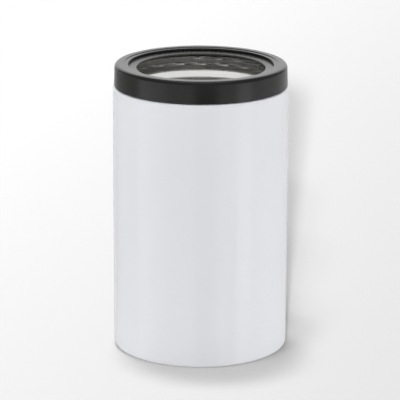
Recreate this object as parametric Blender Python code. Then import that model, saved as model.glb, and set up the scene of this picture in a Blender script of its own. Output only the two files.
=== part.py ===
"""Can cooler sleeve: a double-walled steel body with a white coat, and a black screw collar on its neck.

Metres, +Z up. The axis of every turned piece is the Z axis and the foot stands on z = 0. Each turned piece is
drawn as an outline of (radius, height) points in its own frame and spun about Z, and its object's height puts
it in place.
"""

import math

import bmesh
import bpy
from mathutils import Vector

# Clearance between two pieces that touch, are welded or run on each other.
GAP = 0.0003

# Facets round the large turned pieces, round the hidden base pieces and round the small ones.
SEGMENTS = 64
BASE_SEGMENTS = 48
SMALL_SEGMENTS = 20

# Largest turn between points of an arc, edge angle that stays sharp, and distance that welds points.
ARC_STEP = math.radians(24)
SHARP_ANGLE = math.radians(35)
WELD = 0.000002

# Liner, which is the inner cup, with the neck at its top.
BORE_RADIUS = 0.0342
LINER_WALL = 0.0005
FLOOR_HEIGHT = 0.0180
FLOOR_EDGE_RADIUS = 0.0060
FLOOR_RING_WIDTH = 0.0127
FLOOR_PANEL_DROP = 0.0008
NECK_FLARE = 0.0014
FLARE_TOP_DROP = 0.0012
FLARE_HEIGHT = 0.0028
FLARE_RADIUS = 0.0022

# Outer shell, one vacuum gap outside the liner.
VACUUM_GAP = 0.0048
SHELL_WALL = 0.0005
BODY_HEIGHT = 0.1222
SHOULDER_RADIUS = 0.0011
BASE_EDGE_RADIUS = 0.0020
FOOT_WIDTH = 0.0026
FOOT_INNER_RADIUS = 0.0009
RECESS_HEIGHT = 0.0030

# Screw thread between the neck and the collar, with the plain stretches before and after it. A ridge's ends
# fade over THREAD_FADE to RIDGE_END of its depth, which lies inside the wall that it is embedded in.
THREAD_PITCH = 0.0028
THREAD_DEPTH = 0.0009
THREAD_CREST_WIDTH = 0.0006
THREAD_ROOT_WIDTH = 0.0016
THREAD_FADE = math.radians(24)
THREAD_ANGLE = math.radians(-32)
NECK_RUNOUT = 0.0004
NECK_LEAD = 0.0008
COLLAR_LEAD = 0.0002
RIDGE_EMBED = 0.00025
RIDGE_END = 0.2
GROOVE_MIN_WIDTH = 0.00006

# Collar.
COLLAR_HEIGHT = 0.0100
COLLAR_INSET = 0.0005
COLLAR_TAPER = 0.0003
COLLAR_EDGE_RADIUS = 0.0016
COLLAR_FOOT_RADIUS = 0.0003
CROWN_THICKNESS = 0.0013
CROWN_OVERHANG = 0.0043
CROWN_BAND_WIDTH = 0.0022
CROWN_BAND_DROP = 0.0003
BEAD_DEPTH = 0.0006
BEAD_HEIGHT = 0.0006

# Gasket.
GASKET_PLAY = 0.0005
GASKET_THICKNESS = 0.0018
GASKET_LIP_REACH = 0.0038
GASKET_LIP_THICKNESS = 0.0009
GASKET_LIP_FALL = 0.0003
GASKET_LIP_EDGE = 0.0003
GASKET_RIB_WIDTH = 0.0011
GASKET_RIB_DEPTH = 0.0011

# Base: the pressed base with its exhaust port, and the cover that hides it.
BASE_WALL = 0.0005
BASE_CORNER_RADIUS = 0.0006
BASE_SKIRT_START = 0.0008
BASE_LAND_WIDTH = 0.0100
BASE_DISH_RISE = 0.0027
BASE_DISH_SLOPE = 0.0025
DIMPLE_RADIUS = 0.0046
DIMPLE_RISE = 0.0014
DIMPLE_SLOPE = 0.0008
PORT_RADIUS = 0.0007
COVER_THICKNESS = 0.0004
COVER_EDGE_RADIUS = 0.0002
SEAL_THICKNESS = 0.0007
SEAL_DOME = 0.0005

# Getter, the pill that keeps the vacuum, and the strap that holds it.
GETTER_RADIUS = 0.0040
GETTER_HEIGHT = 0.0025
GETTER_EDGE_RADIUS = 0.0004
GETTER_OFFSET = 0.0120
CLIP_WALL = 0.0004
CLIP_WIDTH = 0.0050
CLIP_FOOT = 0.0035

# Radii and heights that follow from the sizes above.
LINER_RADIUS = BORE_RADIUS + LINER_WALL
BODY_RADIUS = LINER_RADIUS + VACUUM_GAP + SHELL_WALL
NECK_RADIUS = LINER_RADIUS + NECK_FLARE
NECK_BORE = NECK_RADIUS - LINER_WALL
SKIRT_RADIUS = NECK_RADIUS + THREAD_DEPTH + GAP
CROWN_OPENING = SKIRT_RADIUS - CROWN_OVERHANG
RECESS_RADIUS = BODY_RADIUS - BASE_EDGE_RADIUS - FOOT_WIDTH
BASE_RADIUS = RECESS_RADIUS - GAP
BASE_LAND_HEIGHT = RECESS_HEIGHT + GAP
BASE_DISH_HEIGHT = BASE_LAND_HEIGHT + BASE_DISH_RISE
COLLAR_BASE = BODY_HEIGHT + GAP
COLLAR_TOP = COLLAR_BASE + COLLAR_HEIGHT
GASKET_BASE = COLLAR_TOP - CROWN_THICKNESS - GAP - GASKET_THICKNESS
MOUTH_HEIGHT = GASKET_BASE - GAP
BEAD_TOP = GASKET_BASE - GAP

# Heights between which the middle of each thread's ridge climbs.
NECK_THREAD_START = BODY_HEIGHT + NECK_RUNOUT + THREAD_ROOT_WIDTH / 2
NECK_THREAD_END = MOUTH_HEIGHT - NECK_LEAD - THREAD_ROOT_WIDTH / 2
COLLAR_THREAD_START = COLLAR_BASE + COLLAR_LEAD + THREAD_ROOT_WIDTH / 2
COLLAR_THREAD_END = BEAD_TOP - BEAD_HEIGHT - GAP - THREAD_ROOT_WIDTH / 2

PAINT = ("white_coat", (0.80, 0.81, 0.84), 0.22, 0.0)
STEEL = ("brushed_steel", (0.66, 0.65, 0.64), 0.30, 1.0)
PLASTIC = ("black_plastic", (0.030, 0.029, 0.027), 0.42, 0.0)
SILICONE = ("black_silicone", (0.040, 0.040, 0.040), 0.60, 0.0)
SOLDER = ("solder_glass", (0.10, 0.11, 0.13), 0.15, 0.0)
PILL = ("getter_metal", (0.30, 0.30, 0.31), 0.55, 1.0)


def clear_scene():
    for thing in list(bpy.data.objects):
        bpy.data.objects.remove(thing)


def finish_of(look):
    """The material of one look: its name, colour, roughness and metallic value."""
    name, colour, roughness, metallic = look
    material = bpy.data.materials.get(name)
    if material is None:
        material = bpy.data.materials.new(name)
        material.use_nodes = True
        shader = material.node_tree.nodes["Principled BSDF"]
        shader.inputs["Base Color"].default_value = (*colour, 1.0)
        shader.inputs["Roughness"].default_value = roughness
        shader.inputs["Metallic"].default_value = metallic
    return material


def rounded_path(corners):
    """The (radius, height) points of a path along corners, each given as (radius, height, fillet radius)."""
    path = []
    last = len(corners) - 1
    for index, (across, up, fillet) in enumerate(corners):
        corner = Vector((across, up))
        if fillet <= 0 or index in (0, last):
            path.append(corner)
            continue
        back = (Vector(corners[index - 1][:2]) - corner).normalized()
        ahead = (Vector(corners[index + 1][:2]) - corner).normalized()
        half = back.angle(ahead) / 2
        centre = corner + (back + ahead).normalized() * (fillet / math.sin(half))
        start = corner + back * (fillet / math.tan(half)) - centre
        sweep = start.angle_signed(corner + ahead * (fillet / math.tan(half)) - centre)
        steps = max(2, math.ceil(abs(sweep) / ARC_STEP))
        for step in range(steps + 1):
            turn_by = -sweep * step / steps
            cosine = math.cos(turn_by)
            sine = math.sin(turn_by)
            spoke = Vector((start.x * cosine - start.y * sine, start.x * sine + start.y * cosine))
            path.append(centre + spoke)
    return path


def beside(path, distance):
    """The path moved sideways by distance, to the right of its direction of travel."""
    moved = []
    for index, point in enumerate(path):
        before = path[max(index - 1, 0)]
        after = path[min(index + 1, len(path) - 1)]
        into = (point - before).normalized() if index else (after - point).normalized()
        out = (after - point).normalized() if index < len(path) - 1 else into
        normal_in = Vector((into.y, -into.x))
        normal_out = Vector((out.y, -out.x))
        middle = (normal_in + normal_out).normalized()
        moved.append(point + middle * (distance / middle.dot(normal_in)))
    return moved


def sheet(path, wall):
    """The closed outline of sheet metal whose outer face follows path, with its wall to the right of it."""
    return path + beside(path, wall)[::-1]


def add_object(name, mesh_maker, look, height, parent):
    mesh = bpy.data.meshes.new(name)
    mesh_maker.to_mesh(mesh)
    mesh_maker.free()
    piece = bpy.data.objects.new(name, mesh)
    bpy.context.scene.collection.objects.link(piece)
    mesh.shade_smooth()
    mesh.set_sharp_from_angle(angle=SHARP_ANGLE)
    if look:
        mesh.materials.append(finish_of(look))
    piece.location = (0, 0, height)
    piece.parent = parent
    return piece


def turned(name, outline, look, height, parent, segments=SEGMENTS):
    """A solid made by spinning an outline of (radius, height) points once round Z.

    The outline closes on itself, or along Z where its first and last points lie there.
    """
    maker = bmesh.new()
    points = [maker.verts.new((point.x, 0, point.y)) for point in outline]
    edges = []
    for start, end in zip(points, points[1:] + points[:1]):
        if start.co.x > 0 or end.co.x > 0:
            edges.append(maker.edges.new((start, end)))
    bmesh.ops.spin(
        maker,
        geom=points + edges,
        axis=(0, 0, 1),
        cent=(0, 0, 0),
        angle=2 * math.pi,
        steps=segments,
        use_merge=True,
    )
    bmesh.ops.remove_doubles(maker, verts=maker.verts, dist=WELD)
    bmesh.ops.dissolve_degenerate(maker, edges=maker.edges, dist=WELD)
    bmesh.ops.recalc_face_normals(maker, faces=maker.faces)
    return add_object(name, maker, look, height, parent)


def helical_bar(name, radius, rise, widths, heights, start_angle, parent, origin_height):
    """A bar along a right-handed helix, which a Boolean joins to a wall or cuts out of it.

    It reaches from RIDGE_EMBED behind the wall's face at radius to rise beyond it, outwards if rise is
    positive. Its ends fade into the wall. widths are those at the wall's face and at the crest, and its
    middle climbs from the first of heights to the second. origin_height is where its object stands.
    """
    outwards = math.copysign(1, rise)
    root_width, crest_width = widths
    low, high = heights
    buried = radius - outwards * RIDGE_EMBED
    flare = (root_width - crest_width) / abs(rise)
    sweep = 2 * math.pi * (high - low) / THREAD_PITCH
    steps = math.ceil(SEGMENTS * sweep / (2 * math.pi))
    maker = bmesh.new()
    rings = []
    for step in range(steps + 1):
        along = sweep * step / steps
        fade = min(1.0, along / THREAD_FADE, (sweep - along) / THREAD_FADE)
        crest = buried + (radius + rise - buried) * max(fade, RIDGE_END)
        middle = low + (high - low) * step / steps - origin_height
        angle = start_angle + along
        ring = []
        for across, side in ((buried, -1), (crest, -1), (crest, 1), (buried, 1)):
            half_width = (crest_width + flare * abs(radius + rise - across)) / 2
            spot = (across * math.cos(angle), across * math.sin(angle), middle + side * half_width)
            ring.append(maker.verts.new(spot))
        rings.append(ring)
    for ring, following in zip(rings, rings[1:]):
        for corner in range(4):
            beyond = (corner + 1) % 4
            maker.faces.new((ring[corner], ring[beyond], following[beyond], following[corner]))
    maker.faces.new(rings[0])
    maker.faces.new(rings[-1])
    bmesh.ops.recalc_face_normals(maker, faces=maker.faces)
    bar = add_object(name, maker, None, origin_height, parent)
    bar.hide_render = True
    bar.display_type = "WIRE"
    return bar


def combine(piece, tool, operation):
    change = piece.modifiers.new(tool.name, "BOOLEAN")
    change.operation = operation
    change.solver = "EXACT"
    change.object = tool


def outer_shell(parent):
    """The white steel wall: shoulder, straight side, foot, and the flange that turns up inside the foot."""
    path = rounded_path(
        [
            (NECK_RADIUS + GAP, BODY_HEIGHT, 0),
            (BODY_RADIUS, BODY_HEIGHT, SHOULDER_RADIUS),
            (BODY_RADIUS, 0, BASE_EDGE_RADIUS),
            (RECESS_RADIUS, 0, FOOT_INNER_RADIUS),
            (RECESS_RADIUS, RECESS_HEIGHT, 0),
        ]
    )
    return turned("outer_shell", sheet(path, SHELL_WALL), PAINT, 0, parent)


def liner(parent):
    """The inner cup and its neck in one sheet, with the thread rolled into it and seen on both faces."""
    flare_top = BODY_HEIGHT - FLARE_TOP_DROP
    underside = FLOOR_HEIGHT - LINER_WALL
    panel_radius = LINER_RADIUS - FLOOR_RING_WIDTH
    path = rounded_path(
        [
            (NECK_RADIUS, MOUTH_HEIGHT, 0),
            (NECK_RADIUS, flare_top, FLARE_RADIUS),
            (LINER_RADIUS, flare_top - FLARE_HEIGHT, FLARE_RADIUS),
            (LINER_RADIUS, underside, FLOOR_EDGE_RADIUS),
            (panel_radius, underside, 0),
            (panel_radius - FLOOR_PANEL_DROP, underside - FLOOR_PANEL_DROP, 0),
            (0, underside - FLOOR_PANEL_DROP, 0),
        ]
    )
    cup = turned("liner", sheet(path, LINER_WALL), STEEL, 0, parent)
    heights = (NECK_THREAD_START, NECK_THREAD_END)
    widths = (THREAD_ROOT_WIDTH, THREAD_CREST_WIDTH)
    ridge = helical_bar("neck_thread", NECK_RADIUS, THREAD_DEPTH, widths, heights, THREAD_ANGLE, parent, 0)
    combine(cup, ridge, "UNION")
    # The back of a rolled ridge is narrower than its front, because the flanks keep the sheet's thickness.
    flank = math.atan2((THREAD_ROOT_WIDTH - THREAD_CREST_WIDTH) / 2, THREAD_DEPTH)
    narrower = 2 * LINER_WALL * (1 / math.cos(flank) - math.tan(flank))
    back_root = THREAD_ROOT_WIDTH - narrower
    back_crest = max(THREAD_CREST_WIDTH - narrower, GROOVE_MIN_WIDTH)
    back_widths = (back_root, back_crest)
    groove = helical_bar(
        "neck_thread_back", NECK_BORE, THREAD_DEPTH, back_widths, heights, THREAD_ANGLE, parent, 0
    )
    combine(cup, groove, "DIFFERENCE")
    return cup


def collar(parent):
    """The moulded ring: a skirt with its thread, a bead under the gasket, and a crown with a lower band."""
    foot_radius = BODY_RADIUS - COLLAR_INSET
    band_height = COLLAR_HEIGHT - CROWN_BAND_DROP
    band_radius = CROWN_OPENING + CROWN_BAND_WIDTH
    crown_underside = COLLAR_HEIGHT - CROWN_THICKNESS
    bead_top = BEAD_TOP - COLLAR_BASE
    bead_radius = SKIRT_RADIUS - BEAD_DEPTH
    path = rounded_path(
        [
            (SKIRT_RADIUS, 0, 0),
            (foot_radius, 0, COLLAR_FOOT_RADIUS),
            (foot_radius - COLLAR_TAPER, COLLAR_HEIGHT, COLLAR_EDGE_RADIUS),
            (band_radius, COLLAR_HEIGHT, 0),
            (band_radius - CROWN_BAND_DROP, band_height, 0),
            (CROWN_OPENING, band_height, CROWN_BAND_DROP),
            (CROWN_OPENING, crown_underside, 0),
            (SKIRT_RADIUS, crown_underside, 0),
            (SKIRT_RADIUS, bead_top, 0),
            (bead_radius, bead_top - BEAD_HEIGHT / 3, 0),
            (bead_radius, bead_top - BEAD_HEIGHT * 2 / 3, 0),
            (SKIRT_RADIUS, bead_top - BEAD_HEIGHT, 0),
        ]
    )
    ring = turned("collar", path, PLASTIC, COLLAR_BASE, parent)
    # The collar's ridge lies under the neck's, one clearance from it where they pass each other in depth.
    shared_depth = THREAD_DEPTH - GAP
    flank_slope = (THREAD_ROOT_WIDTH - THREAD_CREST_WIDTH) / THREAD_DEPTH
    below = THREAD_CREST_WIDTH + flank_slope * shared_depth / 2 + GAP
    climb = COLLAR_THREAD_START + below - NECK_THREAD_START
    ridge = helical_bar(
        "collar_thread",
        SKIRT_RADIUS,
        -THREAD_DEPTH,
        (THREAD_ROOT_WIDTH, THREAD_CREST_WIDTH),
        (COLLAR_THREAD_START, COLLAR_THREAD_END),
        THREAD_ANGLE + 2 * math.pi * climb / THREAD_PITCH,
        parent,
        COLLAR_BASE,
    )
    combine(ring, ridge, "UNION")
    return ring


def gasket(parent):
    """The soft ring between the crown and the neck's mouth, with a lip that grips and a rib that centres it."""
    edge_radius = SKIRT_RADIUS - GASKET_PLAY
    lip_radius = CROWN_OPENING - GASKET_LIP_REACH
    rib_outer = NECK_BORE - GAP
    rib_inner = rib_outer - GASKET_RIB_WIDTH
    lip_top = GASKET_THICKNESS - GASKET_LIP_FALL
    path = rounded_path(
        [
            (edge_radius, 0, 0),
            (edge_radius, GASKET_THICKNESS, 0),
            (CROWN_OPENING - GASKET_LIP_THICKNESS, GASKET_THICKNESS, 0),
            (lip_radius, lip_top, GASKET_LIP_EDGE),
            (lip_radius, lip_top - GASKET_LIP_THICKNESS, GASKET_LIP_EDGE),
            (rib_inner, 0, 0),
            (rib_inner, -GASKET_RIB_DEPTH, 0),
            (rib_outer, -GASKET_RIB_DEPTH, 0),
            (rib_outer, 0, 0),
        ]
    )
    return turned("gasket", path, SILICONE, GASKET_BASE, parent)


def outer_base(parent):
    """The pressed steel dish that closes the double wall, with a dimple round the exhaust port."""
    land_inner = BASE_RADIUS - BASE_LAND_WIDTH
    dish_height = BASE_DISH_HEIGHT - BASE_SKIRT_START
    land_height = BASE_LAND_HEIGHT - BASE_SKIRT_START
    path = rounded_path(
        [
            (PORT_RADIUS, dish_height + DIMPLE_RISE, 0),
            (DIMPLE_RADIUS - DIMPLE_SLOPE, dish_height + DIMPLE_RISE, 0),
            (DIMPLE_RADIUS, dish_height, 0),
            (land_inner - BASE_DISH_SLOPE, dish_height, 0),
            (land_inner, land_height, 0),
            (BASE_RADIUS, land_height, BASE_CORNER_RADIUS),
            (BASE_RADIUS, 0, 0),
        ]
    )
    dish = sheet(path, BASE_WALL)
    return turned("outer_base", dish, STEEL, BASE_SKIRT_START, parent, BASE_SEGMENTS)


def base_cover(parent):
    """The thin brushed disc that closes the recess under the base."""
    edge = BASE_RADIUS - BASE_WALL - GAP
    path = rounded_path(
        [
            (0, COVER_THICKNESS, 0),
            (edge, COVER_THICKNESS, 0),
            (edge, 0, COVER_EDGE_RADIUS),
            (0, 0, 0),
        ]
    )
    height = BASE_LAND_HEIGHT - BASE_WALL - GAP - COVER_THICKNESS
    return turned("base_cover", path, STEEL, height, parent, BASE_SEGMENTS)


def port_seal(parent):
    """The bead of solder glass in the dimple, under the exhaust port. Its dome is a parabola of two steps."""
    edge = DIMPLE_RADIUS - DIMPLE_SLOPE - BASE_WALL - GAP
    path = rounded_path(
        [
            (0, SEAL_DOME + SEAL_THICKNESS, 0),
            (edge, SEAL_DOME + SEAL_THICKNESS, 0),
            (edge, SEAL_DOME, 0),
            (edge / 2, SEAL_DOME / 4, 0),
            (0, 0, 0),
        ]
    )
    ceiling = BASE_DISH_HEIGHT + DIMPLE_RISE - BASE_WALL
    height = ceiling - GAP - SEAL_DOME - SEAL_THICKNESS
    return turned("port_seal", path, SOLDER, height, parent, SMALL_SEGMENTS)


def getter(parent):
    """The pill of getter metal, beside the port and clear of it."""
    path = rounded_path(
        [
            (0, 0, 0),
            (GETTER_RADIUS, 0, 0),
            (GETTER_RADIUS, GETTER_HEIGHT, GETTER_EDGE_RADIUS),
            (0, GETTER_HEIGHT, 0),
        ]
    )
    pill = turned("getter", path, PILL, BASE_DISH_HEIGHT + GAP, parent, SMALL_SEGMENTS)
    pill.location.x = GETTER_OFFSET
    return pill


def getter_clip(parent):
    """The strap of sheet steel bent over the getter, with a foot on each side of it."""
    inner_half = GETTER_RADIUS + GAP
    outer_half = inner_half + CLIP_WALL
    inner_top = GETTER_HEIGHT + GAP
    outer_top = inner_top + CLIP_WALL
    foot_end = outer_half + CLIP_FOOT
    right_side = [
        (inner_half, inner_top),
        (inner_half, 0),
        (foot_end, 0),
        (foot_end, CLIP_WALL),
        (outer_half, CLIP_WALL),
        (outer_half, outer_top),
    ]
    outline = right_side + [(-across, up) for across, up in reversed(right_side)]
    maker = bmesh.new()
    corners = [maker.verts.new((0, across, up)) for across, up in outline]
    face = maker.faces.new(corners)
    grown = bmesh.ops.extrude_face_region(maker, geom=[face])["geom"]
    moved = [item for item in grown if isinstance(item, bmesh.types.BMVert)]
    bmesh.ops.translate(maker, verts=moved, vec=(CLIP_WIDTH, 0, 0))
    bmesh.ops.translate(maker, verts=maker.verts, vec=(-CLIP_WIDTH / 2, 0, 0))
    bmesh.ops.recalc_face_normals(maker, faces=maker.faces)
    strap = add_object("getter_clip", maker, STEEL, BASE_DISH_HEIGHT + GAP, parent)
    strap.location.x = GETTER_OFFSET
    return strap


def empty(name):
    holder = bpy.data.objects.new(name, None)
    bpy.context.scene.collection.objects.link(holder)
    return holder


def main():
    clear_scene()
    body = empty("sleeve_body")
    cap = empty("screw_collar")
    for build in (outer_shell, liner, outer_base, base_cover, port_seal, getter, getter_clip):
        build(body)
    for build in (gasket, collar):
        build(cap)


main()
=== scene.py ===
"""Can cooler sleeve: the finish of every surface, the studio and the camera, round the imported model.

Metres, +Z up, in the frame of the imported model. The turned pieces are drawn as rings round Z: a circle is
extruded from corner to corner of the piece's outline, its corners are bevelled, and sheet metal then gets
its wall from Solidify.
"""

import math

import bmesh
import bpy
from mathutils import Matrix, Vector


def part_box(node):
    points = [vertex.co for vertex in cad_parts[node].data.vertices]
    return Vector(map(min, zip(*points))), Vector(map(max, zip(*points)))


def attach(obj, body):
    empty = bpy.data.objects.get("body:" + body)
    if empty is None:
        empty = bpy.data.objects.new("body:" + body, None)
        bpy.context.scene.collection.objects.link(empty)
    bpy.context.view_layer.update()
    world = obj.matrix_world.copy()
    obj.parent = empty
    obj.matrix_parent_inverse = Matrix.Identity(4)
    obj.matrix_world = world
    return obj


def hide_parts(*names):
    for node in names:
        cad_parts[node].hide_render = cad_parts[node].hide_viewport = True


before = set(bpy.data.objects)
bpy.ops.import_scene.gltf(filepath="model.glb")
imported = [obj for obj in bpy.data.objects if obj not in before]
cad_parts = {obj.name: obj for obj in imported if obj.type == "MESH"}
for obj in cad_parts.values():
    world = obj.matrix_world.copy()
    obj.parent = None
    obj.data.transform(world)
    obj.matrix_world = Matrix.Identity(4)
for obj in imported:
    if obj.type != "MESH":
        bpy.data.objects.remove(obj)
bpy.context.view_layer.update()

# Facets round a turned piece, turn between the facets of a fillet, and facets of a small bevel. Edges up
# to SMOOTH_ANGLE are smooth, points closer than WELD become one, and a ring's points lie within NEAR of it.
ROUND = 192
FILLET_STEP = math.radians(9)
BEVEL_SEGMENTS = 3
SMOOTH_ANGLE = math.radians(32)
WELD = 0.000001
NEAR = 0.00002

# Clearance between neighbouring pieces.
GAP = 0.0003

# Outer shell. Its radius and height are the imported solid's.
BODY_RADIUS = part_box("outer_shell")[1].x
BODY_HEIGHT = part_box("outer_shell")[1].z
SHELL_WALL = 0.0005
SHOULDER_FILLET = 0.0011
FOOT_FILLET = 0.0020
FOOT_WIDTH = 0.0026
RECESS_FILLET = 0.0009
RECESS_HEIGHT = 0.0030
RECESS_RADIUS = BODY_RADIUS - FOOT_FILLET - FOOT_WIDTH

# Liner, with its neck, its floor and the flare between the neck and the bore.
MOUTH_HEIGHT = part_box("liner")[1].z
FLOOR_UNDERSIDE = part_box("liner")[0].z
LINER_WALL = 0.0005
VACUUM_GAP = 0.0048
LINER_RADIUS = BODY_RADIUS - SHELL_WALL - VACUUM_GAP
NECK_FLARE = 0.0014
NECK_RADIUS = LINER_RADIUS + NECK_FLARE
FLARE_TOP_DROP = 0.0012
FLARE_TOP = BODY_HEIGHT - FLARE_TOP_DROP
FLARE_HEIGHT = 0.0028
FLARE_FILLET = 0.0022
FLOOR_FILLET = 0.0060
FLOOR_RING_WIDTH = 0.0127
FLOOR_STEP = 0.0008
FLOOR_STEP_FILLET = 0.0005
MOUTH_FILLET = 0.00014

# Screw thread: rings of faces this far apart carry it, and its ridge fades out over THREAD_FADE.
RING_SPACING = 0.00013
THREAD_PITCH = 0.0028
THREAD_DEPTH = 0.0009
THREAD_CREST = 0.0006
THREAD_ROOT = 0.0016
THREAD_FADE = math.radians(24)
THREAD_ANGLE = math.radians(-32)
NECK_RUNOUT = 0.0004
NECK_LEAD = 0.0008
COLLAR_LEAD = 0.0002
NECK_THREAD_LOW = BODY_HEIGHT + NECK_RUNOUT + THREAD_ROOT / 2
NECK_THREAD_HIGH = MOUTH_HEIGHT - NECK_LEAD - THREAD_ROOT / 2

# Collar.
COLLAR_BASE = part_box("collar")[0].z
COLLAR_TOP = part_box("collar")[1].z
COLLAR_INSET = 0.0005
COLLAR_RADIUS = BODY_RADIUS - COLLAR_INSET
COLLAR_TAPER = 0.0003
COLLAR_TOP_FILLET = 0.0016
COLLAR_FOOT_FILLET = 0.0003
SKIRT_RADIUS = NECK_RADIUS + THREAD_DEPTH + GAP
CROWN_THICKNESS = 0.0013
CROWN_OVERHANG = 0.0043
CROWN_OPENING = SKIRT_RADIUS - CROWN_OVERHANG
CROWN_FILLET = 0.00015
BAND_WIDTH = 0.0022
BAND_RADIUS = CROWN_OPENING + BAND_WIDTH
BAND_DROP = 0.0003
BAND_FILLET = 0.0001
BEAD_TOP = MOUTH_HEIGHT
BEAD_DEPTH = 0.0006
BEAD_HEIGHT = 0.0006

# Gasket.
GASKET_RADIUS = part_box("gasket")[1].x
GASKET_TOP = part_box("gasket")[1].z
GASKET_BASE = MOUTH_HEIGHT + GAP
GASKET_FILLET = 0.0002
LIP_REACH = 0.0038
LIP_RADIUS = CROWN_OPENING - LIP_REACH
LIP_THICKNESS = 0.0009
LIP_FALL = 0.0003
LIP_FILLET = 0.0004
RIB_OUTER = NECK_RADIUS - LINER_WALL - GAP
RIB_WIDTH = 0.0011
RIB_DEPTH = 0.0011
RIB_FILLET = 0.0003

# Base dish with its port, and the cover under it.
DISH_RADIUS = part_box("outer_base")[1].x
DISH_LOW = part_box("outer_base")[0].z
DISH_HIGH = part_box("outer_base")[1].z
DISH_WALL = 0.0005
DISH_CORNER_FILLET = 0.0006
DISH_LAND_HEIGHT = RECESS_HEIGHT + GAP
DISH_LAND_WIDTH = 0.0100
DISH_SLOPE = 0.0025
DIMPLE_RISE = 0.0014
DIMPLE_RADIUS = 0.0046
DIMPLE_SLOPE = 0.0008
DISH_FILLET = 0.0004
PORT_RADIUS = 0.0007
COVER_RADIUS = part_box("base_cover")[1].x
COVER_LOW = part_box("base_cover")[0].z
COVER_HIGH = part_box("base_cover")[1].z
COVER_FILLET = 0.0002
COVER_TOP_FILLET = 0.0001

# Noise that the finishes share. Each range is the part of the noise that is stretched from 0 to 1.
MOTTLE_ROUGHNESS = 0.55
MOTTLE_RANGE = (0.3, 0.7)
LINE_DETAIL = 3
LINE_ROUGHNESS = 0.7
LINE_RANGE = (0.25, 0.75)
LINE_WANDER = 0.6
DRIFT_PATCHES = 30

# White coat: colours and roughness from one value to the other, patches to the metre, and depths in metres.
# It ends COAT_SETBACK outside the recess, on an edge that wanders.
COAT_COLOURS = ((0.815, 0.825, 0.855), (0.800, 0.810, 0.842))
COAT_ROUGHNESS = (0.04, 0.07)
COAT_CLOUDS = 22
COAT_PEEL = 420
COAT_PEEL_DEPTH = 0.0000006
COAT_SPECKS = 2600
COAT_SPECK_DEPTH = 0.00000006
COAT_SETBACK = 0.0004
COAT_EDGE_RADIUS = RECESS_RADIUS + COAT_SETBACK
COAT_EDGE_WANDER = 0.0003

# Steel: the colour of its lines from one to the other, and its clouds, which tint and roughen it a little.
# Each kind has its lines to the metre, its roughness from and to, and the depth of a line.
STEEL_COLOURS = ((0.74, 0.735, 0.72), (0.64, 0.635, 0.62))
STEEL_ANISOTROPY = 0.55
STEEL_CLOUDS = 60
STEEL_TINT = (0.70, 0.69, 0.67)
STEEL_TINT_SHARE = 0.5
STEEL_CLOUD_ROUGHNESS = 0.05
BORE_STEEL = (2400, (0.20, 0.30), 0.0000004)
BASE_STEEL = (3800, (0.24, 0.40), 0.0000012)

# Moulded polymers: colours and roughness from and to, grains to the metre, and the depth of a grain.
MOULD_CLOUDS = 45
PLASTIC = (((0.0060, 0.0058, 0.0052), (0.0085, 0.0082, 0.0074)), (0.20, 0.26), 2800, 0.000002)
SILICONE = (((0.050, 0.050, 0.048), (0.070, 0.070, 0.067)), (0.24, 0.32), 1500, 0.000002)

# Lumpy pieces: colours and roughness from and to, lumps to the metre, the depth of a lump, and metallic.
LUMPS_ACROSS_CLOUD = 4
SOLDER = (((0.08, 0.09, 0.11), (0.16, 0.17, 0.18)), (0.12, 0.30), 900, 0.00003, 0.0)
PILL = (((0.25, 0.25, 0.26), (0.40, 0.40, 0.41)), (0.45, 0.70), 4000, 0.00002, 1.0)

# Camera, found from the edges of the body and the collar in the photograph. Angles are in degrees.
CAMERA_PLACE = (-0.0002, -1.0978, 0.3753)
CAMERA_PITCH = 15.64
CAMERA_ROLL = 0.23
CAMERA_LENS = 222.9
CAMERA_SENSOR = 36

# Floor. Its shade is FLOOR_SHADE at the foot and grows along FLOOR_PAINTED_LIGHT_SLOPE, by so much a metre,
# between the two shades. This colour is painted light, brighter towards the left and the back.
FLOOR_RADIUS = 6.0
FLOOR_SIDES = 96
FLOOR_PAINTED_LIGHT_SLOPE = (-0.375, 0.109, 0.0)
FLOOR_SHADE = 0.556
FLOOR_SHADES = (0.47, 0.64)

# The room: its light on rough surfaces and what the camera sees of it.
ROOM_LIGHT = 0.075
ROOM_SEEN = 1.0

# What glossy surfaces show of the room: dim walls, with a bright patch low at the back and one overhead.
# Each patch has its light, the way to its middle, and the cosines to that way at its edge and at its core.
WALL_GLOSS = 0.28
BACK_PATCH = (0.86, (0.0, 0.94, 0.34), 0.78, 0.93)
TOP_PATCH = (0.72, (0.0, 0.0, 1.0), 0.86, 0.96)

# Lamps on the floor alone, which give the sleeve its soft shadow: degrees to the right of the front,
# degrees up, degrees across, and light.
FLOOR_LAMPS = (
    ("low_lamp", -3.5, 14.5, 2.2, 0.44),
    ("middle_lamp", -6.5, 27, 3, 0.10),
    ("high_lamp", -11, 42, 6, 0.09),
    ("side_lamp", -30, 70, 9, 0.10),
    ("left_lamp", -50, 81, 7, 0.24),
    ("back_lamp", -163, 80, 9, 0.52),
)

# Cards on the floor, which glossy sides show: each lies between two ways that the sides face, in degrees to
# the right of the front, and has its radiance.
CARD_HEIGHT = 0.0012
CARD_REACH = 2.0
CARDS = (
    ("left_edge_card", -90, -76, 0.60),
    ("far_left_card", -76, -50, 0.36),
    ("outer_left_card", -50, -44.5, 0.45),
    ("left_card", -44.5, -34.3, 1.10),
    ("inner_left_card", -34.3, -24, 0.95),
    ("front_left_card", -24, -4, 0.70),
    ("front_card", -4, 10.8, 0.26),
    ("front_right_card", 10.8, 24.8, 0.70),
    ("right_card", 24.8, 35.4, 1.35),
    ("outer_right_card", 35.4, 52, 0.76),
    ("far_right_card", 52, 76, 0.60),
    ("right_edge_card", 76, 90, 0.62),
)

# Round panels on the floor that light the foot of the sleeve from below, as a white floor does: the
# distance across and radiance.
FOOT_PANEL_HEIGHT = 0.0001
FOOT_PANELS = (
    ("foot_panel", 0.17, 0.20),
    ("rim_panel", 0.098, 0.90),
)

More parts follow.
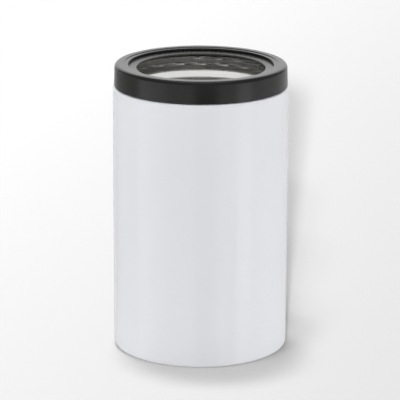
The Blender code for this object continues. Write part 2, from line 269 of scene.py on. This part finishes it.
# A wide panel overhead that lights the steel alone, so that the bore is bright.
STEEL_PANEL_HEIGHT = 0.5
STEEL_PANEL_SIZE = 2.6
STEEL_PANEL_RADIANCE = 0.8

# Soft boxes on the sleeve alone, which leave no mirror image in it: degrees to the right of the front,
# degrees up and radiance.
SOFT_BOX_DISTANCE = 1.4
SOFT_BOX_SIZE = 0.9
SOFT_BOXES = (
    ("front_box", 0, 35, 1.78),
    ("front_left_box", -50, 30, 1.20),
    ("front_right_box", 50, 30, 1.82),
    ("left_box", -105, 25, 2.75),
    ("right_box", 105, 25, 2.60),
    ("back_left_box", -150, 25, 1.8),
    ("back_right_box", 150, 25, 1.4),
    ("top_box", 0, 88, 1.45),
)


def deselect_all():
    if bpy.context.mode != "OBJECT":
        bpy.ops.object.mode_set(mode="OBJECT")
    bpy.ops.object.select_all(action="DESELECT")


def turning(corner, before, after):
    """The angle by which the outline turns at a corner."""
    into = Vector(corner[:2]) - Vector(before[:2])
    out = Vector(after[:2]) - Vector(corner[:2])
    return into.angle(out)


def select_ring(mesh, radius, height):
    """Selects the edges of the ring at this radius and height, in edit mode."""
    editable = bmesh.from_edit_mesh(mesh)
    for face in editable.faces:
        face.select = False
    for edge in editable.edges:
        edge.select = all(
            abs(math.hypot(vertex.co.x, vertex.co.y) - radius) < NEAR and abs(vertex.co.z - height) < NEAR
            for vertex in edge.verts
        )
    editable.select_flush_mode()
    bmesh.update_edit_mesh(mesh)


def turn_rings(name, corners, closed=False):
    """A turned surface through corners of (radius, height, fillet radius), left in object mode.

    It ends in a pole where the last radius is 0, and closed joins its last ring to its first.
    """
    deselect_all()
    radius, height, _ = corners[0]
    bpy.ops.mesh.primitive_circle_add(vertices=ROUND, radius=radius, location=(0, 0, height))
    piece = bpy.context.active_object
    piece.name = name
    piece.data.name = name
    bpy.ops.object.transform_apply(location=True, rotation=True, scale=True)
    bpy.ops.object.mode_set(mode="EDIT")
    bpy.ops.mesh.select_mode(type="EDGE")
    bpy.ops.mesh.select_all(action="SELECT")
    for next_radius, next_height, _ in corners[1:] + (corners[:1] if closed else []):
        bpy.ops.mesh.extrude_region_move(TRANSFORM_OT_translate={"value": (0, 0, next_height - height)})
        grow = next_radius / radius
        bpy.ops.transform.resize(value=(grow, grow, 1), center_override=(0, 0, 0))
        radius = next_radius
        height = next_height
    bpy.ops.mesh.select_all(action="SELECT")
    bpy.ops.mesh.remove_doubles(threshold=WELD)
    bpy.ops.mesh.normals_make_consistent(inside=False)
    last = len(corners) - 1
    for index, (radius, height, fillet) in enumerate(corners):
        if fillet == 0 or not closed and index in (0, last):
            continue
        turn = turning(corners[index], corners[index - 1], corners[(index + 1) % len(corners)])
        select_ring(piece.data, radius, height)
        bpy.ops.mesh.bevel(
            offset=fillet * math.tan(turn / 2),
            segments=max(2, math.ceil(turn / FILLET_STEP)),
            affect="EDGES",
        )
    bpy.ops.object.mode_set(mode="OBJECT")
    return piece


def give_wall(piece, thickness):
    """Thickens a sheet inwards from its outer face."""
    bpy.context.view_layer.objects.active = piece
    wall = piece.modifiers.new("wall", "SOLIDIFY")
    wall.thickness = thickness
    wall.offset = -1
    wall.use_even_offset = True
    bpy.ops.object.modifier_apply(modifier=wall.name)


def bevel_ring(piece, radius, height, width):
    bpy.context.view_layer.objects.active = piece
    bpy.ops.object.mode_set(mode="EDIT")
    bpy.ops.mesh.select_mode(type="EDGE")
    select_ring(piece.data, radius, height)
    bpy.ops.mesh.bevel(offset=width, segments=BEVEL_SEGMENTS, affect="EDGES")
    bpy.ops.object.mode_set(mode="OBJECT")


def finish_piece(piece, body, node, material):
    """Smooths a new piece, gives it its material, and hands it to the frame in place of its node."""
    deselect_all()
    piece.select_set(True)
    bpy.context.view_layer.objects.active = piece
    bpy.ops.object.shade_smooth_by_angle(angle=SMOOTH_ANGLE)
    piece.data.materials.clear()
    piece.data.materials.append(material)
    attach(piece, body)
    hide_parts(node)
    deselect_all()
    return piece


def straight(radius, start, end):
    """Corners of evenly spaced rings along a plain wall that carries a thread, without its two ends."""
    count = math.ceil(abs(end - start) / RING_SPACING)
    return [(radius, start + (end - start) * step / count, 0) for step in range(1, count)]


def roll_thread(piece, radius, rise, widths, heights, start_angle):
    """Moves the wall's vertices at radius out by rise, or in where it is negative, along a helical ridge.

    widths are those at the ridge's root and crest, and its middle climbs between heights. Its flanks are
    rounded and its ends fade out.
    """
    root, crest = widths
    low, high = heights
    whole = 2 * math.pi
    sweep = whole * (high - low) / THREAD_PITCH
    for vertex in piece.data.vertices:
        if abs(math.hypot(vertex.co.x, vertex.co.y) - radius) > NEAR:
            continue
        along = (math.atan2(vertex.co.y, vertex.co.x) - start_angle) % whole
        push = 0
        while along < sweep:
            aside = abs(vertex.co.z - low - THREAD_PITCH * along / whole)
            flank = min(1, max(0, (root / 2 - aside) / (root / 2 - crest / 2)))
            fade = min(1, along / THREAD_FADE, (sweep - along) / THREAD_FADE)
            push = max(push, flank * flank * (3 - 2 * flank) * fade * fade * (3 - 2 * fade))
            along += whole
        grow = 1 + rise * push / radius
        vertex.co.x *= grow
        vertex.co.y *= grow


def outer_shell(material):
    piece = turn_rings(
        "shell",
        [
            (NECK_RADIUS + GAP, BODY_HEIGHT, 0),
            (BODY_RADIUS, BODY_HEIGHT, SHOULDER_FILLET),
            (BODY_RADIUS, 0, FOOT_FILLET),
            (RECESS_RADIUS, 0, RECESS_FILLET),
            (RECESS_RADIUS, RECESS_HEIGHT, 0),
        ],
    )
    give_wall(piece, SHELL_WALL)
    return finish_piece(piece, "sleeve", "outer_shell", material)


def liner(material):
    panel_radius = LINER_RADIUS - FLOOR_RING_WIDTH
    ring_height = FLOOR_UNDERSIDE + FLOOR_STEP
    neck_foot = FLARE_TOP + FLARE_FILLET / 2
    piece = turn_rings(
        "liner_cup",
        [
            (NECK_RADIUS, MOUTH_HEIGHT, 0),
            *straight(NECK_RADIUS, MOUTH_HEIGHT, neck_foot),
            (NECK_RADIUS, neck_foot, 0),
            (NECK_RADIUS, FLARE_TOP, FLARE_FILLET),
            (LINER_RADIUS, FLARE_TOP - FLARE_HEIGHT, FLARE_FILLET),
            (LINER_RADIUS, ring_height, FLOOR_FILLET),
            (panel_radius, ring_height, FLOOR_STEP_FILLET),
            (panel_radius - FLOOR_STEP, FLOOR_UNDERSIDE, FLOOR_STEP_FILLET),
            (panel_radius / 3, FLOOR_UNDERSIDE, 0),
            (0, FLOOR_UNDERSIDE, 0),
        ],
    )
    give_wall(piece, LINER_WALL)
    heights = (NECK_THREAD_LOW, NECK_THREAD_HIGH)
    roll_thread(piece, NECK_RADIUS, THREAD_DEPTH, (THREAD_ROOT, THREAD_CREST), heights, THREAD_ANGLE)
    # On the back of the sheet the ridge is narrower, because its flanks keep the sheet's thickness.
    flank = math.atan2((THREAD_ROOT - THREAD_CREST) / 2, THREAD_DEPTH)
    narrower = 2 * LINER_WALL * (1 / math.cos(flank) - math.tan(flank))
    back_widths = (THREAD_ROOT - narrower, THREAD_CREST - narrower)
    roll_thread(piece, NECK_RADIUS - LINER_WALL, THREAD_DEPTH, back_widths, heights, THREAD_ANGLE)
    bevel_ring(piece, NECK_RADIUS, MOUTH_HEIGHT, MOUTH_FILLET)
    bevel_ring(piece, NECK_RADIUS - LINER_WALL, MOUTH_HEIGHT, MOUTH_FILLET)
    return finish_piece(piece, "sleeve", "liner", material)


def collar(material):
    top_radius = COLLAR_RADIUS - COLLAR_TAPER
    crown_underside = COLLAR_TOP - CROWN_THICKNESS
    bead_radius = SKIRT_RADIUS - BEAD_DEPTH
    bead_base = BEAD_TOP - BEAD_HEIGHT
    # The middle third of the bead is its crest.
    bead_third = BEAD_HEIGHT / 3
    piece = turn_rings(
        "collar_ring",
        [
            (SKIRT_RADIUS, COLLAR_BASE, 0),
            (COLLAR_RADIUS, COLLAR_BASE, COLLAR_FOOT_FILLET),
            (top_radius, COLLAR_TOP, COLLAR_TOP_FILLET),
            (BAND_RADIUS, COLLAR_TOP, BAND_FILLET),
            (BAND_RADIUS - BAND_DROP, COLLAR_TOP - BAND_DROP, BAND_FILLET),
            (CROWN_OPENING, COLLAR_TOP - BAND_DROP, BAND_DROP),
            (CROWN_OPENING, crown_underside, CROWN_FILLET),
            (SKIRT_RADIUS, crown_underside, CROWN_FILLET),
            (SKIRT_RADIUS, BEAD_TOP, 0),
            (bead_radius, BEAD_TOP - bead_third, BAND_FILLET),
            (bead_radius, bead_base + bead_third, BAND_FILLET),
            (SKIRT_RADIUS, bead_base, 0),
            *straight(SKIRT_RADIUS, bead_base, COLLAR_BASE),
        ],
        closed=True,
    )
    # The collar's ridge lies under the neck's, one clearance from it where they pass each other in depth.
    low = COLLAR_BASE + COLLAR_LEAD + THREAD_ROOT / 2
    high = bead_base - GAP - THREAD_ROOT / 2
    slope = (THREAD_ROOT - THREAD_CREST) / THREAD_DEPTH
    below = THREAD_CREST + slope * (THREAD_DEPTH - GAP) / 2 + GAP
    climb = low + below - NECK_THREAD_LOW
    start = THREAD_ANGLE + 2 * math.pi * climb / THREAD_PITCH
    roll_thread(piece, SKIRT_RADIUS, -THREAD_DEPTH, (THREAD_ROOT, THREAD_CREST), (low, high), start)
    return finish_piece(piece, "collar", "collar", material)


def gasket(material):
    lip_top = GASKET_TOP - LIP_FALL
    rib_inner = RIB_OUTER - RIB_WIDTH
    piece = turn_rings(
        "grip_ring",
        [
            (GASKET_RADIUS, GASKET_BASE, GASKET_FILLET),
            (GASKET_RADIUS, GASKET_TOP, GASKET_FILLET),
            (CROWN_OPENING - LIP_THICKNESS, GASKET_TOP, LIP_THICKNESS),
            (LIP_RADIUS, lip_top, LIP_FILLET),
            (LIP_RADIUS, lip_top - LIP_THICKNESS, LIP_FILLET),
            (rib_inner, GASKET_BASE, RIB_FILLET),
            (rib_inner, GASKET_BASE - RIB_DEPTH, RIB_FILLET),
            (RIB_OUTER, GASKET_BASE - RIB_DEPTH, RIB_FILLET),
            (RIB_OUTER, GASKET_BASE, RIB_FILLET),
        ],
        closed=True,
    )
    return finish_piece(piece, "gasket", "gasket", material)


def base_dish(material):
    land = DISH_RADIUS - DISH_LAND_WIDTH
    dish = DISH_HIGH - DIMPLE_RISE
    piece = turn_rings(
        "base_dish",
        [
            (DISH_RADIUS, DISH_LOW, 0),
            (DISH_RADIUS, DISH_LAND_HEIGHT, DISH_CORNER_FILLET),
            (land, DISH_LAND_HEIGHT, DISH_FILLET),
            (land - DISH_SLOPE, dish, DISH_FILLET),
            (DIMPLE_RADIUS, dish, 0),
            (DIMPLE_RADIUS - DIMPLE_SLOPE, DISH_HIGH, 0),
            (PORT_RADIUS, DISH_HIGH, 0),
        ],
    )
    give_wall(piece, DISH_WALL)
    return finish_piece(piece, "sleeve", "outer_base", material)


def base_cover(material):
    deselect_all()
    bpy.ops.mesh.primitive_cylinder_add(
        vertices=ROUND,
        radius=COVER_RADIUS,
        depth=COVER_HIGH - COVER_LOW,
        end_fill_type="TRIFAN",
        location=(0, 0, (COVER_HIGH + COVER_LOW) / 2),
    )
    piece = bpy.context.active_object
    piece.name = "cover_disc"
    piece.data.name = "cover_disc"
    bpy.ops.object.transform_apply(location=True, rotation=True, scale=True)
    bevel_ring(piece, COVER_RADIUS, COVER_LOW, COVER_FILLET)
    bevel_ring(piece, COVER_RADIUS, COVER_HIGH, COVER_TOP_FILLET)
    return finish_piece(piece, "sleeve", "base_cover", material)


def link_or_set(tree, node, sockets):
    """Links each input, given by name or index, to another node's output, or sets it to a value."""
    for socket, source in sockets.items():
        if isinstance(source, bpy.types.NodeSocket):
            tree.links.new(source, node.inputs[socket])
        else:
            node.inputs[socket].default_value = source


def add_node(tree, kind, sockets=None, **settings):
    node = tree.nodes.new(kind)
    for setting, value in settings.items():
        setattr(node, setting, value)
    link_or_set(tree, node, sockets or {})
    return node


def calculate(tree, operation, first, second=0.0):
    return add_node(tree, "ShaderNodeMath", {0: first, 1: second}, operation=operation).outputs[0]


def between(tree, value, low, high, kind="LINEAR", from_low=0.0, from_high=1.0):
    """Maps a value from one range to low and high."""
    sockets = {"Value": value, "From Min": from_low, "From Max": from_high, "To Min": low, "To Max": high}
    return add_node(tree, "ShaderNodeMapRange", sockets, interpolation_type=kind).outputs["Result"]


def distance_from_axis(tree, place):
    flat = add_node(tree, "ShaderNodeVectorMath", {0: place, 1: (1, 1, 0)}, operation="MULTIPLY")
    length = add_node(tree, "ShaderNodeVectorMath", {0: flat.outputs["Vector"]}, operation="LENGTH")
    return length.outputs["Value"]


def reach_along(tree, vector, way):
    """How far a vector reaches along a way. Between two ways it is the cosine."""
    product = add_node(tree, "ShaderNodeVectorMath", {0: vector, 1: way}, operation="DOT_PRODUCT")
    return product.outputs["Value"]


def new_group(name, inputs, outputs):
    """An empty node group with float inputs and outputs, apart from its Vector input."""
    group = bpy.data.node_groups.new(name, "ShaderNodeTree")
    group.interface.new_socket("Vector", in_out="INPUT", socket_type="NodeSocketVector")
    for label in inputs:
        group.interface.new_socket(label, in_out="INPUT", socket_type="NodeSocketFloat")
    for label in outputs:
        group.interface.new_socket(label, in_out="OUTPUT", socket_type="NodeSocketFloat")
    return group, group.nodes.new("NodeGroupInput").outputs, group.nodes.new("NodeGroupOutput")


def mottle_group():
    """Cloudy noise of some number of patches to the metre, stretched to the whole range from 0 to 1."""
    group, given, result = new_group("mottle", ["Patches", "Detail"], ["Value"])
    sockets = {
        "Vector": given["Vector"],
        "Scale": given["Patches"],
        "Detail": given["Detail"],
        "Roughness": MOTTLE_ROUGHNESS,
    }
    noise = add_node(group, "ShaderNodeTexNoise", sockets).outputs["Fac"]
    group.links.new(between(group, noise, 0, 1, "SMOOTHSTEP", *MOTTLE_RANGE), result.inputs["Value"])
    return group


def turned_lines_group():
    """Lines round the Z axis, as a lathe, a spinning tool or polishing leaves them."""
    group, given, result = new_group("turned_lines", ["Lines", "Wander"], ["Value"])
    radius = distance_from_axis(group, given["Vector"])
    height = add_node(group, "ShaderNodeSeparateXYZ", {0: given["Vector"]}).outputs["Z"]
    sockets = {"Vector": given["Vector"], "Scale": DRIFT_PATCHES, "Detail": 1}
    drift = add_node(group, "ShaderNodeTexNoise", sockets).outputs["Fac"]
    parts = {
        "X": calculate(group, "MULTIPLY", radius, given["Lines"]),
        "Y": calculate(group, "MULTIPLY", height, given["Lines"]),
        "Z": calculate(group, "MULTIPLY", drift, given["Wander"]),
    }
    place = add_node(group, "ShaderNodeCombineXYZ", parts).outputs["Vector"]
    sockets = {"Vector": place, "Scale": 1, "Detail": LINE_DETAIL, "Roughness": LINE_ROUGHNESS}
    lines = add_node(group, "ShaderNodeTexNoise", sockets).outputs["Fac"]
    group.links.new(between(group, lines, 0, 1, "LINEAR", *LINE_RANGE), result.inputs["Value"])
    return group


def grouped(tree, group, sockets):
    node = add_node(tree, "ShaderNodeGroup", node_tree=group)
    link_or_set(tree, node, sockets)
    return node.outputs["Value"]


def tinted(tree, factor, first, second):
    """A colour between two colours."""
    mix = add_node(tree, "ShaderNodeMix", data_type="RGBA")
    link_or_set(tree, mix, {"Factor": factor})
    colours = [socket for socket in mix.inputs if socket.type == "RGBA"]
    for socket, colour in zip(colours, (first, second)):
        if isinstance(colour, bpy.types.NodeSocket):
            tree.links.new(colour, socket)
        else:
            socket.default_value = (*colour, 1)
    return next(socket for socket in mix.outputs if socket.type == "RGBA")


def bumped(tree, height, depth, normal=None):
    """A normal from a height of 0 to 1 that stands for depth in metres."""
    node = add_node(tree, "ShaderNodeBump", {"Height": height, "Distance": depth, "Strength": 1})
    if normal:
        tree.links.new(normal, node.inputs["Normal"])
    return node.outputs["Normal"]


def new_finish(name, **sockets):
    """A material, its node tree, the object's coordinates, and its Principled BSDF with fixed values."""
    material = bpy.data.materials.new(name)
    material.use_nodes = True
    tree = material.node_tree
    place = add_node(tree, "ShaderNodeTexCoord").outputs["Object"]
    shader = tree.nodes["Principled BSDF"]
    for label, value in sockets.items():
        shader.inputs[label.replace("_", " ")].default_value = value
    return material, tree, place, shader


def white_coat(mottle):
    """The glossy white coat with its faint orange peel. Inside the foot it stops, and the steel is bare."""
    material, tree, place, shader = new_finish("white_coat")
    clouds = grouped(tree, mottle, {"Vector": place, "Patches": COAT_CLOUDS, "Detail": 2})
    peel = grouped(tree, mottle, {"Vector": place, "Patches": COAT_PEEL, "Detail": 1})
    specks = grouped(tree, mottle, {"Vector": place, "Patches": COAT_SPECKS, "Detail": 2})
    height = add_node(tree, "ShaderNodeSeparateXYZ", {0: place}).outputs["Z"]
    wander = calculate(tree, "MULTIPLY", peel, COAT_EDGE_WANDER)
    ragged = calculate(tree, "ADD", distance_from_axis(tree, place), wander)
    outside = COAT_EDGE_RADIUS + COAT_EDGE_WANDER
    inside = between(tree, ragged, 1, 0, "SMOOTHSTEP", COAT_EDGE_RADIUS, outside)
    bare = calculate(tree, "MULTIPLY", inside, calculate(tree, "LESS_THAN", height, BODY_HEIGHT / 2))
    coat = tinted(tree, clouds, *COAT_COLOURS)
    tree.links.new(tinted(tree, bare, coat, STEEL_COLOURS[0]), shader.inputs["Base Color"])
    tree.links.new(bare, shader.inputs["Metallic"])
    tree.links.new(between(tree, specks, *COAT_ROUGHNESS), shader.inputs["Roughness"])
    fine = bumped(tree, specks, COAT_SPECK_DEPTH)
    tree.links.new(bumped(tree, peel, COAT_PEEL_DEPTH, fine), shader.inputs["Normal"])
    return material


def turned_steel(name, mottle, turned_lines, lines_per_metre, roughness, depth):
    """Steel with lines round its axis, which stretch its highlights across them."""
    material, tree, place, shader = new_finish(name, Metallic=1.0, Anisotropic=STEEL_ANISOTROPY)
    sockets = {"Vector": place, "Lines": lines_per_metre, "Wander": LINE_WANDER}
    lines = grouped(tree, turned_lines, sockets)
    clouds = grouped(tree, mottle, {"Vector": place, "Patches": STEEL_CLOUDS, "Detail": 3})
    tint = calculate(tree, "MULTIPLY", clouds, STEEL_TINT_SHARE)
    colour = tinted(tree, tint, tinted(tree, lines, *STEEL_COLOURS), STEEL_TINT)
    tree.links.new(colour, shader.inputs["Base Color"])
    rougher = calculate(tree, "MULTIPLY", clouds, STEEL_CLOUD_ROUGHNESS)
    rough = calculate(tree, "ADD", between(tree, lines, *roughness), rougher)
    tree.links.new(rough, shader.inputs["Roughness"])
    tree.links.new(bumped(tree, lines, depth), shader.inputs["Normal"])
    tangent = add_node(tree, "ShaderNodeTangent", direction_type="RADIAL", axis="Z").outputs["Tangent"]
    tree.links.new(tangent, shader.inputs["Tangent"])
    return material


def moulded(name, mottle, colours, roughness, grain, depth):
    """A moulded polymer with the fine grain that its mould gives it."""
    material, tree, place, shader = new_finish(name)
    clouds = grouped(tree, mottle, {"Vector": place, "Patches": MOULD_CLOUDS, "Detail": 2})
    texture = grouped(tree, mottle, {"Vector": place, "Patches": grain, "Detail": 2})
    tree.links.new(tinted(tree, clouds, *colours), shader.inputs["Base Color"])
    tree.links.new(between(tree, texture, *roughness), shader.inputs["Roughness"])
    tree.links.new(bumped(tree, texture, depth), shader.inputs["Normal"])
    return material


def rough_lump(name, mottle, colours, roughness, grain, depth, metallic):
    """Solder glass or sintered metal: small lumps that catch the light."""
    material, tree, place, shader = new_finish(name, Metallic=metallic)
    cells = add_node(tree, "ShaderNodeTexVoronoi", {"Vector": place, "Scale": grain}).outputs["Distance"]
    clouds = grouped(tree, mottle, {"Vector": place, "Patches": grain / LUMPS_ACROSS_CLOUD, "Detail": 3})
    tree.links.new(tinted(tree, clouds, *colours), shader.inputs["Base Color"])
    tree.links.new(between(tree, clouds, *roughness), shader.inputs["Roughness"])
    tree.links.new(bumped(tree, cells, depth), shader.inputs["Normal"])
    return material


def dress_node(name, material):
    """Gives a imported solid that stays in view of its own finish."""
    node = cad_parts[name]
    for slot in node.material_slots:
        slot.material = material


def towards(azimuth, elevation):
    """The unit vector towards a lamp, by degrees to the right of the front and above the floor."""
    across = math.radians(azimuth)
    up = math.radians(elevation)
    return Vector((math.sin(across) * math.cos(up), -math.cos(across) * math.cos(up), math.sin(up)))


def pale_floor():
    """A pale floor whose colour is brighter towards the left and the back, as painted light."""
    deselect_all()
    bpy.ops.mesh.primitive_circle_add(
        vertices=FLOOR_SIDES, radius=FLOOR_RADIUS, fill_type="NGON", location=(0, 0, 0)
    )
    floor = bpy.context.active_object
    floor.name = "floor"
    material, tree, place, shader = new_finish("pale_floor", Roughness=1.0)
    shader.inputs["Specular IOR Level"].default_value = 0
    # Painted light: the floor's colour grows brighter towards the left and the back.
    shade = calculate(tree, "ADD", reach_along(tree, place, FLOOR_PAINTED_LIGHT_SLOPE), FLOOR_SHADE)
    darkest, palest = FLOOR_SHADES
    held = add_node(tree, "ShaderNodeClamp", {"Value": shade, "Min": darkest, "Max": palest})
    tree.links.new(held.outputs[0], shader.inputs["Base Color"])
    floor.data.materials.append(material)
    return floor


def bright_patch(tree, way, light, middle, edge, core):
    """The light of a soft round patch of the room, by the way in which it is seen."""
    return between(tree, reach_along(tree, way, middle), 0, light, "SMOOTHSTEP", edge, core)


def white_room():
    """An even white room, dimmer as a lamp than it looks. Glossy surfaces show it dim, with two patches."""
    world = bpy.data.worlds.new("room")
    world.use_nodes = True
    tree = world.node_tree
    path = add_node(tree, "ShaderNodeLightPath").outputs
    way = add_node(tree, "ShaderNodeTexCoord").outputs["Generated"]
    back = bright_patch(tree, way, *BACK_PATCH)
    top = bright_patch(tree, way, *TOP_PATCH)
    gloss = calculate(tree, "ADD", calculate(tree, "ADD", back, top), WALL_GLOSS)
    seen = between(tree, path["Is Camera Ray"], ROOM_LIGHT, ROOM_SEEN)
    strength = add_node(tree, "ShaderNodeMix", {"Factor": path["Is Glossy Ray"], "A": seen, "B": gloss})
    sockets = {"Strength": strength.outputs["Result"], "Color": (1, 1, 1, 1)}
    link_or_set(tree, tree.nodes["Background"], sockets)
    bpy.context.scene.world = world


def sun_on_floor(floor_only, name, azimuth, elevation, spread, light):
    """A soft lamp far away that lights only the floor, where light of 1 shows a colour as it is written."""
    bpy.ops.object.light_add(type="SUN", location=towards(azimuth, elevation))
    lamp = bpy.context.active_object
    lamp.name = name
    lamp.rotation_euler = towards(azimuth, elevation).to_track_quat("Z", "Y").to_euler()
    lamp.data.angle = math.radians(spread)
    lamp.data.energy = math.pi * light / math.sin(math.radians(elevation))
    lamp.light_linking.receiver_collection = floor_only


def panel(name, place, facing, size, radiance, shape):
    """A flat lamp out of the camera's sight, a disc or a square."""
    bpy.ops.object.light_add(type="AREA", location=place)
    lamp = bpy.context.active_object
    lamp.name = name
    lamp.rotation_euler = Vector(facing).to_track_quat("-Z", "Y").to_euler()
    lamp.data.shape = shape
    lamp.data.size = size
    area = size * size * (math.pi / 4 if shape == "DISK" else 1)
    lamp.data.energy = radiance * math.pi * area
    lamp.visible_camera = False
    return lamp


def glow(name, radiance):
    material = bpy.data.materials.new(name)
    material.use_nodes = True
    tree = material.node_tree
    light = add_node(tree, "ShaderNodeEmission", {"Strength": radiance})
    tree.links.new(light.outputs[0], tree.nodes["Material Output"].inputs["Surface"])
    return material


def floor_card(name, left, right, radiance):
    """A bright fan flat on the floor that only glossy sides show, as an upright band.

    left and right are the ways in which the band's two edges face. Seen from the front, a side that faces
    one way shows what lies twice as far round.
    """
    first = towards(left, 0) * BODY_RADIUS
    second = towards(right, 0) * BODY_RADIUS
    first_far = first + towards(2 * left, 0) * CARD_REACH
    second_far = second + towards(2 * right, 0) * CARD_REACH
    corners = (first, second, first_far, second_far)
    deselect_all()
    bpy.ops.mesh.primitive_plane_add(location=(0, 0, 0))
    card = bpy.context.active_object
    card.name = name
    for vertex, corner in zip(card.data.vertices, corners):
        vertex.co = corner + Vector((0, 0, CARD_HEIGHT))
    card.data.materials.append(glow(name, radiance))
    card.visible_camera = False
    card.visible_diffuse = False
    card.visible_shadow = False


def receivers(name, pieces):
    """A collection of the only pieces that a lamp lights."""
    collection = bpy.data.collections.new(name)
    for piece in pieces:
        collection.objects.link(piece)
    return collection


def studio(shell, steel_pieces, other_pieces):
    floor = pale_floor()
    white_room()
    floor_only = receivers("floor_only", [floor])
    for lamp in FLOOR_LAMPS:
        sun_on_floor(floor_only, *lamp)
    for card in CARDS:
        floor_card(*card)
    sleeve_only = receivers("sleeve_only", [shell, *steel_pieces, *other_pieces])
    for name, across, radiance in FOOT_PANELS:
        lamp = panel(name, (0, 0, FOOT_PANEL_HEIGHT), (0, 0, 1), across, radiance, "DISK")
        lamp.light_linking.receiver_collection = sleeve_only
    high = (0, 0, STEEL_PANEL_HEIGHT)
    steel_panel = panel("steel_panel", high, (0, 0, -1), STEEL_PANEL_SIZE, STEEL_PANEL_RADIANCE, "SQUARE")
    steel_panel.light_linking.receiver_collection = receivers("steel_only", steel_pieces)
    for name, azimuth, elevation, radiance in SOFT_BOXES:
        place = towards(azimuth, elevation) * SOFT_BOX_DISTANCE
        box = panel(name, place, -place, SOFT_BOX_SIZE, radiance, "SQUARE")
        box.light_linking.receiver_collection = sleeve_only
        box.visible_glossy = False
    # The shell's bright foot doesn't light the floor.
    shell.visible_diffuse = False
    bpy.context.scene.view_settings.view_transform = "Standard"


def camera():
    deselect_all()
    bpy.ops.object.camera_add(location=CAMERA_PLACE)
    view = bpy.context.active_object
    pitch = Matrix.Rotation(math.radians(90 - CAMERA_PITCH), 4, "X")
    view.rotation_euler = (pitch @ Matrix.Rotation(math.radians(CAMERA_ROLL), 4, "Z")).to_euler()
    view.data.lens = CAMERA_LENS
    view.data.sensor_width = CAMERA_SENSOR
    bpy.context.scene.camera = view


def main():
    mottle = mottle_group()
    lines = turned_lines_group()
    coat = white_coat(mottle)
    bore_steel = turned_steel("bore_steel", mottle, lines, *BORE_STEEL)
    base_steel = turned_steel("base_steel", mottle, lines, *BASE_STEEL)
    plastic = moulded("collar_plastic", mottle, *PLASTIC)
    rubber = moulded("grip_silicone", mottle, *SILICONE)
    dress_node("port_seal", rough_lump("solder_glass", mottle, *SOLDER))
    dress_node("getter", rough_lump("sintered_metal", mottle, *PILL))
    dress_node("getter_clip", base_steel)
    shell = outer_shell(coat)
    steel_pieces = [liner(bore_steel), base_dish(base_steel), base_cover(base_steel)]
    other_pieces = [gasket(rubber), collar(plastic)]
    studio(shell, steel_pieces, other_pieces)
    camera()


main()
